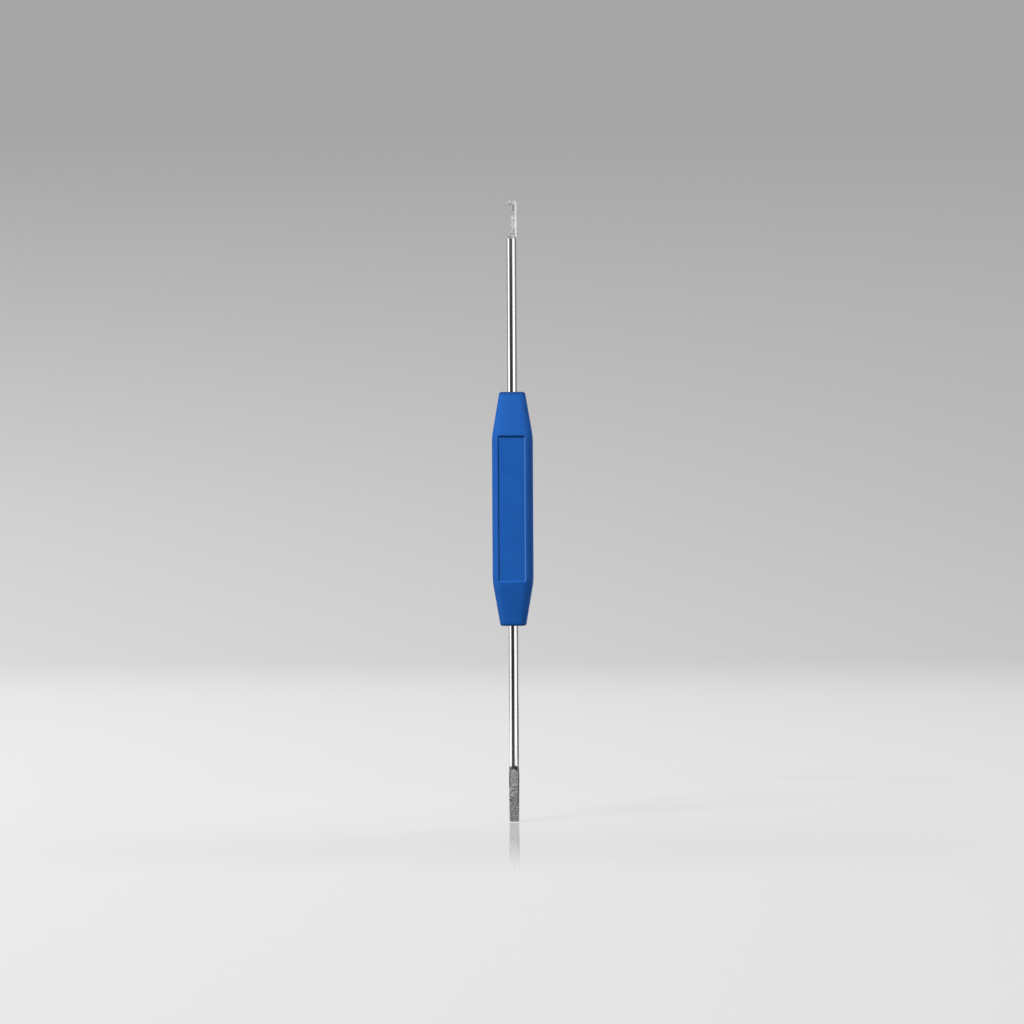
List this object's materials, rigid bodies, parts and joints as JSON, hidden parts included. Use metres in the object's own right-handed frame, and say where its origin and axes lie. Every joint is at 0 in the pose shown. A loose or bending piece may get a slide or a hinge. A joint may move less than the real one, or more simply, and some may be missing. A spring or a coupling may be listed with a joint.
{
  "type": "wedgelock removal tool",
  "caption": "Slim hand tool for pulling wedge locks out of cable connectors: a tapered square grip with a notched steel hook at its upper end and a flat steel blade at its lower end.",
  "frame": {"origin": "middle of the grip, on the axis that both shafts share", "axes": "+Z along the tool to the hook, -Y out of the grip's front panel, and the hook's lip points to -X"},
  "size_m": [0.011, 0.0108, 0.1674],
  "materials": {
    "grip_plastic": "blue moulded plastic with a fine satin grain",
    "hook_steel": "bright drawn steel, ground at the hook",
    "blade_steel": "bright drawn steel, ground at the blade"
  },
  "bodies": {
    "root": {"grip": "grip_plastic", "hook_shaft": "hook_steel", "hook": "hook_steel", "blade_shaft": "blade_steel"}
  },
  "joints": []
}
